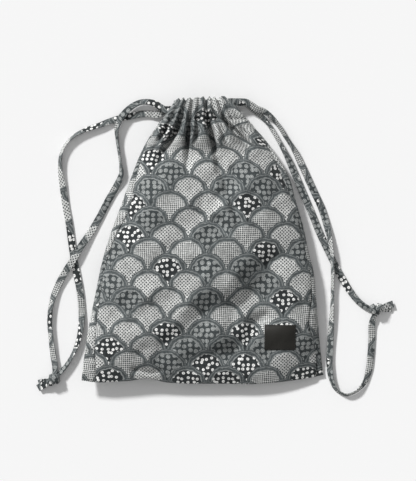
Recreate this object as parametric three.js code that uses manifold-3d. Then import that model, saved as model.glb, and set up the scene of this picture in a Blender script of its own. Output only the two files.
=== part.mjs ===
import * as THREE from "three";
import { mergeVertices } from "three/addons/utils/BufferGeometryUtils.js";
import Module from "manifold-3d";

// Drawstring pouch of thin cloth, padded out and lying on its back with its mouth drawn up.
// Millimetres, +Z up from the table, +Y from the bottom fold to the mouth.

// The bag
const bagWidth = 241; // side fold to side fold along the bottom
const bagHeight = 289; // bottom fold to the gathered top edge
const bellyHeight = 27; // top of the front where it is fullest
const foldHeight = 9; // side and bottom folds above the table
const bottomRound = 70; // length over which the front rises from the bottom fold
const backRound = 18; // length over which the back drops from the bottom fold to the table
const bulgePower = 2.4; // how soon the bag fills out from its bottom fold
const sidePower = 0.4; // how soon it fills out from its side folds
const shoulderLength = 110; // length over which it falls from its belly to the casing
const bellyShift = 5; // the lying bag bellies to the right between its ends
const flatShare = 0.8; // share of the back's width that lies flat on the table
const clothThickness = 0.6;
const leftSeamInset = 14; // side seams rolled round from the folds on to the front
const rightSeamInset = 8;
const clearance = 0.3; // kept between pieces that touch

// The two drawstrings, flat strips of the same cloth
const stringWidth = 7;
const stringThickness = 1.6;
const laneGap = 0.8; // between the two strings side by side in the casing
const tunnelClearance = 0.6; // above and below a string in the casing

// The gathered mouth
const mouthWidth = 60; // gathered top edge, end to end
const mouthGap = 9; // between the two casings at mid mouth
const casingEndGap = 7; // between the two casings' middles at the ends of the mouth
const casingMargin = 3; // top edge to the upper string
const casingRound = 3; // roundness of the top edge where the cloth folds over
const casingLead = 4.2; // lower string to the casing's stitching
const sideSlit = 14; // side seams stop this far below the stitching
const pleatLength = 95; // pleats run this far down from the stitching
const frontPleats = { count: 7, height: 2.5 };
const backPleats = { count: 5, height: 1.2 };

// The woven label
const labelWidth = 31;
const labelHeight = 25;
const labelThickness = 0.5;
const labelX = 77; // middle of the label from the bag's centre
const labelY = -97;

// The knots at the string ends
const knotLength = 12;
const knotWidth = 11.5;
const knotHeight = 8;
const tailLength = 16; // from the knot's middle

// Where the strings lie: across and along are measured from the end of the casing that a string leaves.
// A knot's turn points its tails, in degrees. A leg's points run from the casing to the knot: across,
// along, lift above the table, roll in degrees from flat.
const leftKnot = { across: -112, along: -270.2, turn: 205 };
const rightKnot = { across: 140.1, along: -207.5, turn: 12 };
const leftFrontLeg = [
  [-3.5, 2, 10.5, 8], [-9.5, 6, 8.4, 20], [-17.5, 8, 6.4, 32], [-24.5, 7.5, 5.5, 38], [-32, 4, 5.6, 30],
  [-40, -3, 6.2, 20], [-45.5, -10.5, 4.2, 40], [-48, -19, 1, 70], [-47.5, -30.5, 0, 85],
  [-45.5, -43.5, 0, 85],
  [-44, -55, 0, 80], [-43.5, -63, 0, 60], [-46, -71, 0, 25], [-50.5, -79.5, 0, 5], [-57.5, -92, 0, 3],
  [-65.5, -107.5, 0, 3], [-75, -123.5, 0.7, 3], [-84.5, -137.5, 2.5, 3], [-92, -150.5, 2.9, 3],
  [-101, -164.5, 1.5, 3], [-109, -180, 0, 20], [-114, -195.5, 0, 45], [-115.5, -211.5, 0, 50],
  [-114, -229.5, 0, 45], [-112, -245.5, 0, 35], [-110, -260.5, 1, 25],
];
const leftBackLeg = [
  [-2, -1.5, 4, 0], [-7.5, -4.5, 2, 6], [-15.5, -4, 0, 12], [-24, -4, 0, 15], [-33.5, -6, 0, 22],
  [-43.5, -8, 0, 28], [-54.5, -11, 0, 35], [-65, -15, 0, 45], [-78, -19.5, 0, 60], [-90, -25.5, 0, 75],
  [-98.5, -33.5, 0, 85], [-103.5, -43, 0, 80], [-105, -57.5, 0, 60], [-102.5, -75.5, 0, 20],
  [-99.5, -95, 0, 4],
  [-96, -114.5, 0, 3], [-93.5, -133.5, 0, 3], [-91, -150.5, 0, 3], [-88, -166.5, 0, 3], [-85, -183, 0, 3],
  [-83.5, -199.5, 0, 6], [-84, -217.5, 0, 35], [-88, -235.5, 0, 60], [-95, -250.5, 0, 70],
  [-103, -261.5, 0.5, 55],
];
const rightFrontLeg = [
  [4, 0, 11, 3], [9, -0.3, 10, 8], [14.5, -3.5, 8.6, 15], [20, -7, 7.2, 25], [26, -9, 5.6, 35],
  [34, -14.5, 2.8, 55], [41.5, -23, 0.6, 70], [48.5, -34, 0, 75], [56.5, -46, 0, 60], [64, -61, 0, 20],
  [72, -78, 0, 4], [78.5, -92, 0, 3], [84.5, -105, 0, 3], [90, -123, 0, 20], [93.5, -139, 0.9, 60],
  [95.5, -153, 2.1, 80], [96, -168, 1.8, 85], [96, -185, 0, 85], [95.5, -204, 0, 80], [94.5, -226, 0, 40],
  [93.5, -245, 0, 20], [93, -263, 0, 25], [95, -278, 0, 55], [100, -288.5, 0, 80], [110, -293.5, 0, 85],
  [120, -290, 0, 80], [128, -281.5, 0, 50], [132.5, -269, 0, 15], [134.5, -253, 0, 4], [135.5, -237, 0, 4],
  [135.5, -222, 1.2, 10],
];
const rightBackLeg = [
  [4, -0.2, 4, 0], [9, -1, 3, 5], [14.5, -5.5, 1.5, 15], [19.5, -10, 0.4, 30], [24.5, -14, 0, 45],
  [30, -20, 0, 65], [36.5, -30, 0, 75], [43, -41, 0, 75], [50, -54, 0, 50], [56.5, -68, 0, 12],
  [63, -83, 0, 3], [68.5, -96, 0, 3], [74.5, -110, 0, 3], [83, -131, 0, 3], [92.5, -151, 0, 3],
  [103, -172, 0, 4], [114, -190, 0, 15], [124, -201.5, 0, 30], [132, -206.5, 1, 30],
];

const clothColour = "#6b7071";
const stringColour = "#73797a";
const labelColour = "#201f1d";

// Worked out from the sizes above
const topY = bagHeight / 2;
const bottomY = -bagHeight / 2;
const layerGap = clothThickness + clearance; // between the middles of two cloths sewn together
const tunnelHalf = stringThickness / 2 + tunnelClearance + clothThickness / 2;
const casingDepth = casingMargin + 2 * stringWidth + laneGap + casingLead;
const stitchY = topY - casingDepth;
const restHeight = clothThickness / 2 + layerGap / 2;
const backCasingMid = tunnelHalf + backPleats.height + clothThickness / 2;
const backCasingTop = 2 * backCasingMid;
const frontCasingMid = backCasingTop + mouthGap + tunnelHalf + frontPleats.height + clothThickness / 2;
const frontCasingEnd = foldHeight + casingEndGap / 2;
const backCasingEnd = foldHeight - casingEndGap / 2;
const casingEndTurn = 0.4; // radians from the side fold to the open end of a casing

const { lerp, smoothstep, degToRad } = THREE.MathUtils;
const wasm = await Module();
wasm.setup();

// Outline of the lying bag: a parabola from the bottom fold in to the gathered mouth, swayed to one side.
const heightShare = (y) => (y - bottomY) / bagHeight;
const halfWidth = (y) => mouthWidth / 2 + (bagWidth - mouthWidth) / 2 * (1 - heightShare(y) ** 2);
const centreX = (y) => bellyShift * Math.sin(Math.PI * heightShare(y));

// How far a casing has bowed towards its end, the same along the whole depth of the casing.
const casingHalf = halfWidth(topY - casingDepth / 2);
const casingBow = (u, y) => (u * halfWidth(y) / casingHalf) ** 2;

// 0 on the body, where the side seams are closed, and 1 at the casings, which are open at their ends.
const slitOpen = (y) => smoothstep(y, stitchY - sideSlit, stitchY);

// Rows of gathers that grow up to the stitching and run out inside the casing.
const gatherAt = (y) => smoothstep(y, stitchY - pleatLength, stitchY)
  * (1 - smoothstep(y, stitchY, stitchY + casingLead));
const ripple = ({ count, height }, u) => height * (0.5 + 0.5 * Math.cos(Math.PI * count * u)) * (1 - u ** 6);

// Height of the front's middle surface at u, from -1 at the left fold to 1 at the right fold.
function frontHeight(u, y) {
  const open = slitOpen(y);
  const rise = 1 - Math.max(0, 1 - (y - bottomY) / bottomRound) ** bulgePower;
  const body = lerp(foldHeight, bellyHeight, rise);
  const crown = lerp(body, frontCasingMid, smoothstep(y, stitchY - shoulderLength, stitchY));
  const edge = lerp(foldHeight, frontCasingEnd, open);
  const across = lerp(Math.max(0, 1 - u * u) ** sidePower, 1 - casingBow(u, y), open);
  return edge + (crown - edge) * across + ripple(frontPleats, u) * gatherAt(y);
}

// Height of the back's middle surface: flat on the table, turned up to the folds.
function backHeight(u, y) {
  const open = slitOpen(y);
  const drop = Math.max(0, 1 - (y - bottomY) / backRound) ** bulgePower;
  const body = lerp(restHeight, foldHeight, drop);
  const floor = lerp(body, backCasingMid, smoothstep(y, stitchY - pleatLength / 2, stitchY));
  const edge = lerp(foldHeight, backCasingEnd, open);
  const turn = Math.max(0, (Math.abs(u) - flatShare) / (1 - flatShare));
  const lift = lerp(1 - Math.sqrt(Math.max(0, 1 - turn * turn)), casingBow(u, y), open);
  return floor + (edge - floor) * lift + ripple(backPleats, u) * gatherAt(y);
}

// Half the distance between a casing's two layers, at a depth below the top edge.
function layerOffset(pleats, u, depth) {
  const nearFold = Math.sqrt(Math.max(0, 1 - (1 - Math.min(1, depth / casingRound)) ** 2));
  const nearStitch = 1 - smoothstep(depth, casingDepth - casingLead, casingDepth);
  const full = tunnelHalf + ripple(pleats, u);
  return lerp(layerGap / 2, full, nearFold * nearStitch);
}

// Rows of a panel from its bottom edge up, over the top fold and down the turned-in hem. Each row has
// its y, its depth in the casing and the side of the casing it is on.
function panelRows() {
  const low = [0, 0.015, 0.04, 0.07, 0.11, 0.17, 0.27, 0.39];
  const high = [0.51, 0.61, 0.7, 0.78, 0.85, 0.91, 0.955, 1];
  const body = [...low, ...high].map((share) => (
    { y: lerp(bottomY, stitchY, share), depth: casingDepth, side: 1 }
  ));
  const depths = [casingDepth - casingLead, casingDepth / 2, casingRound, casingRound / 4];
  const outer = depths.map((depth) => ({ y: topY - depth, depth, side: 1 }));
  const hem = depths.toReversed().map((depth) => ({ y: topY - depth, depth, side: -1 }));
  const fold = { y: topY - clothThickness / 2, depth: 0, side: 0 };
  return [...body, ...outer, fold, ...hem, { y: stitchY, depth: casingDepth, side: -1 }];
}

// Thick cloth from a grid of points: both faces are half a thickness off the grid along its normals.
function thickSheet(grid, thickness) {
  const rows = grid.length;
  const cols = grid[0].length;
  const positions = [];
  const index = [];
  const push = (point) => positions.push(point.x, point.y, point.z) / 3 - 1;
  const faces = [[], []];
  for (let i = 0; i < rows; i++) {
    for (let j = 0; j < cols; j++) {
      const along = grid[Math.min(i + 1, rows - 1)][j].clone().sub(grid[Math.max(i - 1, 0)][j]);
      const across = grid[i][Math.min(j + 1, cols - 1)].clone().sub(grid[i][Math.max(j - 1, 0)]);
      const normal = across.cross(along).normalize().multiplyScalar(thickness / 2);
      faces[0].push(push(grid[i][j].clone().add(normal)));
      faces[1].push(push(grid[i][j].clone().sub(normal)));
    }
  }
  const quad = (a, b, c, d) => index.push(a, b, c, a, c, d);
  const [top, bottom] = faces;
  for (let i = 0; i < rows - 1; i++) {
    for (let j = 0; j < cols - 1; j++) {
      const [a, b, c, d] = [i * cols + j, i * cols + j + 1, (i + 1) * cols + j + 1, (i + 1) * cols + j];
      quad(top[a], top[b], top[c], top[d]);
      quad(bottom[a], bottom[d], bottom[c], bottom[b]);
    }
  }
  const rim = [];
  for (let j = 0; j < cols - 1; j++) rim.push(j);
  for (let i = 0; i < rows - 1; i++) rim.push(i * cols + cols - 1);
  for (let j = cols - 1; j > 0; j--) rim.push((rows - 1) * cols + j);
  for (let i = rows - 1; i > 0; i--) rim.push(i * cols);
  rim.forEach((a, k) => {
    const b = rim[(k + 1) % rim.length];
    quad(top[b], top[a], bottom[a], bottom[b]);
  });
  return indexedGeometry(positions, index);
}

function indexedGeometry(positions, index) {
  const geometry = new THREE.BufferGeometry();
  geometry.setAttribute("position", new THREE.Float32BufferAttribute(positions, 3));
  geometry.setIndex(index);
  return geometry;
}

// Angle from a side fold to its seam on the front. It runs out at the fold below the casing.
function seamTurn(inset, y) {
  const rolled = Math.acos(1 - inset / (bagWidth / 2));
  return lerp(rolled, casingEndTurn / 2, smoothstep(y, stitchY - shoulderLength, stitchY - sideSlit));
}

function frontPanel() {
  const columns = 38;
  const grid = panelRows().map(({ y, depth, side }) => {
    const open = slitOpen(y);
    const gapTurn = clearance / halfWidth(y);
    const left = -Math.cos(lerp(seamTurn(leftSeamInset, y), casingEndTurn, open)) + gapTurn;
    const right = Math.cos(lerp(seamTurn(rightSeamInset, y), casingEndTurn, open)) - gapTurn;
    return Array.from({ length: columns + 1 }, (_, k) => {
      const u = lerp(left, right, k / columns);
      const z = frontHeight(u, y) + side * layerOffset(frontPleats, u, depth);
      return new THREE.Vector3(centreX(y) + u * halfWidth(y), y, z);
    });
  });
  return thickSheet(grid, clothThickness);
}

// The back runs from the left seam round the left fold, under the bag and round the right fold. A turn
// below 0 or above half a circle is on the front side of a fold.
function backPanel() {
  const columns = 42;
  const grid = panelRows().map(({ y, depth, side }) => {
    const open = slitOpen(y);
    const first = lerp(-seamTurn(leftSeamInset, y), casingEndTurn, open);
    const last = Math.PI - lerp(-seamTurn(rightSeamInset, y), casingEndTurn, open);
    return Array.from({ length: columns + 1 }, (_, k) => {
      const turn = lerp(first, last, k / columns);
      const u = -Math.cos(turn);
      const onBack = turn >= 0 && turn <= Math.PI;
      const nearFold = Math.min(1, Math.abs(Math.sin(turn)) / 0.2);
      const offset = side * layerOffset(backPleats, u, depth) * lerp(nearFold, 1, open);
      const z = onBack ? backHeight(u, y) - offset : frontHeight(u, y) + offset;
      return new THREE.Vector3(centreX(y) + u * halfWidth(y), y, z);
    });
  });
  return thickSheet(grid, clothThickness);
}

function label() {
  const steps = 8;
  const stand = layerGap / 2 + clothThickness / 2 + clearance + labelThickness / 2;
  const grid = Array.from({ length: steps + 1 }, (_, i) => Array.from({ length: steps + 1 }, (__, j) => {
    const x = labelX + labelWidth * (j / steps - 0.5);
    const y = labelY + labelHeight * (i / steps - 0.5);
    const u = (x - centreX(y)) / halfWidth(y);
    return new THREE.Vector3(x, y, frontHeight(u, y) + stand);
  }));
  return thickSheet(grid, labelThickness);
}

// Middle of a casing's tunnel, where a string runs.
const laneY = (lane) => topY - casingMargin - stringWidth / 2 - lane * (stringWidth + laneGap);
function tunnelPoint(casingMid, casingEnd, u, lane) {
  const y = laneY(lane);
  return new THREE.Vector3(centreX(y) + u * halfWidth(y), y, lerp(casingMid, casingEnd, casingBow(u, y)));
}

// Where a string leaves its casing, and its knot as it lies from there.
const casingExit = (side, lane) => tunnelPoint(frontCasingMid, frontCasingEnd, side, lane);
function knotFrom(exit, { across, along, turn }) {
  return { x: exit.x + across, y: exit.y + along, turn };
}

// A leg's points on the table: a rolled strip rests on its lower edge.
function legStations(leg, exit) {
  return leg.map(([across, along, lift, degrees]) => {
    const roll = degToRad(degrees);
    const rest = stringWidth / 2 * Math.sin(roll) + stringThickness / 2 * Math.cos(roll) + clearance / 2;
    return { point: new THREE.Vector3(exit.x + across, exit.y + along, rest + lift), roll };
  });
}

// Whole route of a string: knot, front leg, front casing, round the far end, back casing, back leg, knot.
function stringStations(side, lane, frontLeg, backLeg, knot) {
  const exit = casingExit(side, lane);
  const shares = [1, 0.85, 0.6, 0.3, 0, -0.3, -0.6, -0.85, -0.975].map((share) => share * side);
  const flat = (point) => ({ point, roll: 0 });
  const front = shares.map((u) => tunnelPoint(frontCasingMid, frontCasingEnd, u, lane));
  const back = shares.toReversed().map((u) => tunnelPoint(backCasingMid, backCasingEnd, u, lane));
  const farEnd = front.at(-1);
  const radius = casingEndGap / 2;
  const bend = [0.25, 0.5, 0.75].map((share) => new THREE.Vector3(
    farEnd.x - side * radius * Math.sin(share * Math.PI),
    farEnd.y,
    foldHeight + radius * Math.cos(share * Math.PI),
  ));
  const knotMiddle = { point: new THREE.Vector3(knot.x, knot.y, knotHeight / 2), roll: 0 };
  return [
    knotMiddle,
    ...legStations(frontLeg, exit).toReversed(),
    ...front.map(flat),
    ...bend.map(flat),
    ...back.map(flat),
    ...legStations(backLeg, exit),
    knotMiddle,
  ];
}

// Flat strip with eased edges carried along its stations, turned about its own line by each roll.
function stripAlong(stations) {
  const w = stringWidth / 2;
  const t = stringThickness / 2;
  const ease = t / 2;
  const section = [
    [-w, -ease], [ease - w, -t], [w - ease, -t], [w, -ease],
    [w, ease], [w - ease, t], [ease - w, t], [-w, ease],
  ];
  const sides = section.length;
  const positions = [];
  const index = [];
  const up = new THREE.Vector3(0, 0, 1);
  let level = null;
  stations.forEach(({ point, roll }, i) => {
    const before = stations[Math.max(i - 1, 0)].point;
    const after = stations[Math.min(i + 1, stations.length - 1)].point;
    const forward = after.clone().sub(before).normalize();
    const sideways = up.clone().cross(forward);
    if (level && sideways.length() < 0.5) sideways.copy(level).addScaledVector(forward, -level.dot(forward));
    if (level && sideways.dot(level) < 0) sideways.negate();
    level = sideways.normalize();
    const width = level.clone().applyAxisAngle(forward, roll);
    const depth = forward.clone().cross(width);
    for (const [a, b] of section) {
      const corner = point.clone().addScaledVector(width, a).addScaledVector(depth, b);
      positions.push(corner.x, corner.y, corner.z);
    }
  });
  const last = (stations.length - 1) * sides;
  for (let ring = 0; ring < last; ring += sides) {
    for (let j = 0; j < sides; j++) {
      const next = (j + 1) % sides;
      index.push(ring + j, ring + next, ring + sides + next, ring + j, ring + sides + next, ring + sides + j);
    }
  }
  for (let j = 1; j < sides - 1; j++) {
    index.push(0, j + 1, j, last, last + j, last + j + 1);
  }
  return indexedGeometry(positions, index);
}

// Closed solids for joining and cutting, and back.
function solidOf(geometry) {
  const plain = new THREE.BufferGeometry();
  plain.setAttribute("position", geometry.getAttribute("position"));
  plain.setIndex(geometry.getIndex());
  const merged = mergeVertices(plain, 1e-4);
  const vertProperties = Float32Array.from(merged.getAttribute("position").array);
  const triVerts = Uint32Array.from(merged.getIndex().array);
  return new wasm.Manifold(new wasm.Mesh({ numProp: 3, vertProperties, triVerts }));
}
function geometryOf(solid) {
  const { vertProperties, triVerts } = solid.getMesh();
  return indexedGeometry(vertProperties, Array.from(triVerts));
}

// Body of a knot: two wraps side by side, as a profile turned about the line of the tails.
function knotBody(knot, grow) {
  const r = knotWidth / 2;
  const half = [[0.88, 0], [1, 0.18], [0.9, 0.34], [0.55, 0.48], [0, 0.5]];
  const wraps = [...half.slice(1).toReversed().map(([a, b]) => [a, -b]), ...half];
  const profile = wraps.map(([a, b]) => new THREE.Vector2(a * r, b * knotLength));
  const body = new THREE.LatheGeometry(profile, 14);
  body.rotateZ(-Math.PI / 2);
  body.scale(1 + 2 * grow / knotLength, 1 + 2 * grow / knotWidth, (knotHeight + 2 * grow) / knotWidth);
  body.rotateZ(degToRad(knot.turn));
  body.translate(knot.x, knot.y, knotHeight / 2);
  return solidOf(body);
}

// Two tails, one on the other, out of the far end of the knot.
function knotTail(knot, layer) {
  const turn = degToRad(knot.turn + (layer ? 9 : -6));
  const reach = tailLength - layer * 2.5;
  const low = stringThickness / 2 + clearance / 2 + layer * (stringThickness + clearance);
  const stations = [0, 0.55, 1].map((share) => ({
    point: new THREE.Vector3(
      knot.x + Math.cos(turn) * reach * share,
      knot.y + Math.sin(turn) * reach * share,
      lerp(knotHeight / 2, low, Math.min(1, share * 1.6)),
    ),
    roll: 0,
  }));
  return solidOf(stripAlong(stations));
}

const knotSolid = (knot) => geometryOf(knotBody(knot, 0).add(knotTail(knot, 0)).add(knotTail(knot, 1)));

function drawstring(side, lane, frontLeg, backLeg, knot) {
  const strip = solidOf(stripAlong(stringStations(side, lane, frontLeg, backLeg, knot)));
  const tails = knotTail(knot, 0).add(knotTail(knot, 1));
  return geometryOf(strip.subtract(knotBody(knot, clearance)).subtract(tails));
}

function piece(name, geometry, colour, roughness) {
  const material = new THREE.MeshStandardMaterial({ color: colour, roughness, metalness: 0 });
  const mesh = new THREE.Mesh(geometry, material);
  mesh.name = name;
  return mesh;
}

const leftKnotAt = knotFrom(casingExit(-1, 1), leftKnot);
const rightKnotAt = knotFrom(casingExit(1, 0), rightKnot);

const bag = new THREE.Group();
bag.add(
  piece("front_panel", frontPanel(), clothColour, 0.85),
  piece("back_panel", backPanel(), clothColour, 0.85),
  piece("left_drawstring", drawstring(-1, 1, leftFrontLeg, leftBackLeg, leftKnotAt), stringColour, 0.85),
  piece("left_knot", knotSolid(leftKnotAt), stringColour, 0.85),
  piece("right_drawstring", drawstring(1, 0, rightFrontLeg, rightBackLeg, rightKnotAt), stringColour, 0.85),
  piece("right_knot", knotSolid(rightKnotAt), stringColour, 0.85),
  piece("label", label(), labelColour, 0.6),
);

export default bag;
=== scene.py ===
from functools import partial

import bmesh
import bpy
import numpy as np
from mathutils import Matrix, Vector


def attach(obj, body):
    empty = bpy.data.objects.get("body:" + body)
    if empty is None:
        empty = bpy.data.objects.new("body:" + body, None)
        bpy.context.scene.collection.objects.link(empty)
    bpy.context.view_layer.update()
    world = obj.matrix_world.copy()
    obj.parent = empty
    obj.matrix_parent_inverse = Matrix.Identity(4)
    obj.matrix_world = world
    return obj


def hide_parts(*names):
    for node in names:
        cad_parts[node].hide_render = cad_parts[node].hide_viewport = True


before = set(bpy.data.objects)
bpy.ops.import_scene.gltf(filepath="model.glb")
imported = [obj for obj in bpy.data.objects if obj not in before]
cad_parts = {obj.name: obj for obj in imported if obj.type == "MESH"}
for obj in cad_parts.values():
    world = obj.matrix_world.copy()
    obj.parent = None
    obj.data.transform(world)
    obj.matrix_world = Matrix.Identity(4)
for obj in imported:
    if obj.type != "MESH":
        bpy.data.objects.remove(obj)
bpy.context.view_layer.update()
mm = 0.001  # shapes are worked out in millimetres and put into the meshes in metres


# Share from 0 to 1 of a value between two others, eased at both ends: 3t^2 - 2t^3.
def easeBetween(value, low, high):
    t = np.clip((value - low) / (high - low), 0, 1)
    return t * t * (3 - 2 * t)


# Straight mix of two values: a + (b - a) share.
def mix(a, b, share):
    return a + (b - a) * share


# Bell of height 1 round a place: exp of minus the squared distance in widths.
def bell(value, place, width):
    return np.exp(-((value - place) / width) ** 2)


# Cubic through rows of (place, values...), each row with the slope of the parabola through its neighbours.
def smoothCurve(knots, at):
    knots = np.asarray(knots, float)
    places, values = knots[:, 0], knots[:, 1:]
    slopes = np.gradient(values, places, axis=0)
    at = np.clip(at, places[0], places[-1])
    k = np.clip(np.searchsorted(places, at, side="right") - 1, 0, len(places) - 2)
    span = (places[k + 1] - places[k])[..., None]
    t = (at - places[k])[..., None] / span
    start = (2 * t**3 - 3 * t**2 + 1) * values[k] + (t**3 - 2 * t**2 + t) * span * slopes[k]
    end = (3 * t**2 - 2 * t**3) * values[k + 1] + (t**3 - t**2) * span * slopes[k + 1]
    return start + end


# One value of a smooth curve.
def smoothValue(knots, at):
    return smoothCurve(knots, np.asarray(at, float))[..., 0]


# Distance run so far along rows of points.
def runAlong(points):
    steps = np.linalg.norm(np.diff(points, axis=0), axis=-1)
    return np.concatenate([[0], np.cumsum(steps)])


# Distance run so far across each row of a grid of points.
def runAcross(points):
    steps = np.linalg.norm(np.diff(points, axis=1), axis=-1)
    return np.concatenate([np.zeros((len(points), 1)), np.cumsum(steps, axis=1)], axis=1)


# Vectors cut or grown to length 1.
def unit(vectors):
    return vectors / np.linalg.norm(vectors, axis=-1, keepdims=True)


# A piece from its points in millimetres, its faces and the place of each face corner on its map; it rides
# on the root.
def newPiece(name, points, faces, faceUv, material):
    mesh = bpy.data.meshes.new(name)
    mesh.from_pydata((points.reshape(-1, 3) * mm).tolist(), [], faces)
    layer = mesh.uv_layers.new(name="clothMap")
    layer.data.foreach_set("uv", faceUv.astype(np.float32).ravel())
    mesh.polygons.foreach_set("use_smooth", np.ones(len(mesh.polygons), bool))
    mesh.materials.append(material)
    mesh.update()
    piece = bpy.data.objects.new(name, mesh)
    bpy.context.scene.collection.objects.link(piece)
    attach(piece, "root")
    return piece


# Mesh of quads over a grid of points, with its own map in millimetres. A wrapped grid closes round its
# columns and gets a face over each end; its map has one column more than its points.
def gridPiece(name, points, uv, material, wrapped=False):
    rows, cols = points.shape[:2]
    i, j = np.meshgrid(np.arange(rows - 1), np.arange(cols if wrapped else cols - 1), indexing="ij")
    corners = [(i, j), (i, j + 1), (i + 1, j + 1), (i + 1, j)]
    faces = np.stack([r * cols + c % cols for r, c in corners], axis=-1).reshape(-1, 4).tolist()
    faceUv = np.stack([uv[r, c] for r, c in corners], axis=-2).reshape(-1, 2)
    if wrapped:
        ends = [np.arange(cols)[::-1], (rows - 1) * cols + np.arange(cols)]
        faces += [end.tolist() for end in ends]
        faceUv = np.concatenate([faceUv] + [uv.reshape(-1, 2)[[0]].repeat(cols, 0)] * 2)
    piece = newPiece(name, points, faces, faceUv, material)
    if wrapped:
        work = bmesh.new()
        work.from_mesh(piece.data)
        bmesh.ops.recalc_face_normals(work, faces=work.faces)
        work.to_mesh(piece.data)
        work.free()
    return piece


# Gives a sheet its thickness in millimetres, inwards.
def thicken(piece, thickness):
    shell = piece.modifiers.new("thickness", "SOLIDIFY")
    shell.thickness = thickness * mm
    shell.offset = -1


# Linear colour from an sRGB hex value: ((c + 0.055) / 1.055)^2.4 above the straight foot.
def hexColour(text):
    parts = np.array([int(text[k:k + 2], 16) for k in (1, 3, 5)]) / 255
    linear = np.where(parts > 0.04045, ((parts + 0.055) / 1.055) ** 2.4, parts / 12.92)
    return (*linear.tolist(), 1)


# Adds a node to a tree with its settings; each input is a value or the socket that feeds it.
def addNode(tree, kind, inputs=(), output=0, **settings):
    node = tree.nodes.new("ShaderNode" + kind)
    for name, value in settings.items():
        setattr(node, name, value)
    for socket, value in inputs.items() if isinstance(inputs, dict) else enumerate(inputs):
        if isinstance(value, bpy.types.NodeSocket):
            tree.links.new(value, node.inputs[socket])
        elif value is not None:
            node.inputs[socket].default_value = value
    return node.outputs[output] if node.outputs else None


# New material with an emptied node tree, and the function that adds nodes to it.
def newMaterial(name):
    material = bpy.data.materials.new(name)
    material.use_nodes = True
    material.node_tree.nodes.clear()
    return material, partial(addNode, material.node_tree)


# Printed plain-weave cotton: matt, a little fuzz at the edges, overlapping slate scallops with a pale double
# rim, filled with lattice, check, discs or dots, drawn a little shakily. Sizes in millimetres of cloth.
printed = {
    "scallop": 39.0, "rowPitch": 16.4, "shake": 1.6, "shakeSize": 7,
    "lattice": 2.5, "check": 2.1, "disc": 5.6, "dot": 5.0,
    # each edge of the drawing as a pair of values between which it turns from off to on
    "inside": (0.765, 0.735), "latticeLine": (0.24, 0.34), "checkSquare": (0.34, 0.58),
    "discRound": (0.42, 0.33), "discRing": (0.02, 0.09), "dotRound": (0.33, 0.26), "dotEye": (0.05, 0.12),
    "rims": ((0.775, 0.034, 0.8), (0.93, 0.028, 0.45)),  # place as a share of the scallop, width, strength
    "clouds": (((28, 28, 1), 0.30), ((1.3, 1.3, 1), 0.80), ((1.1, 7, 1), 0.90), ((7, 1.1, 1), 0.90)),
    "cloudStart": -0.42, "paleDye": (0.88, 0.24),  # clouds by size and strength; the dye's least and spread
    "thread": 1.3,  # real threads are a quarter of this, drawn coarser so that they show
    "ground": "#525758", "line": "#989b9a", "dark": "#313536", "deep": "#3f4445", "grey": "#9a9d9c",
    "pale": "#c9cac8", "white": "#f1f1ef",
}


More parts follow.
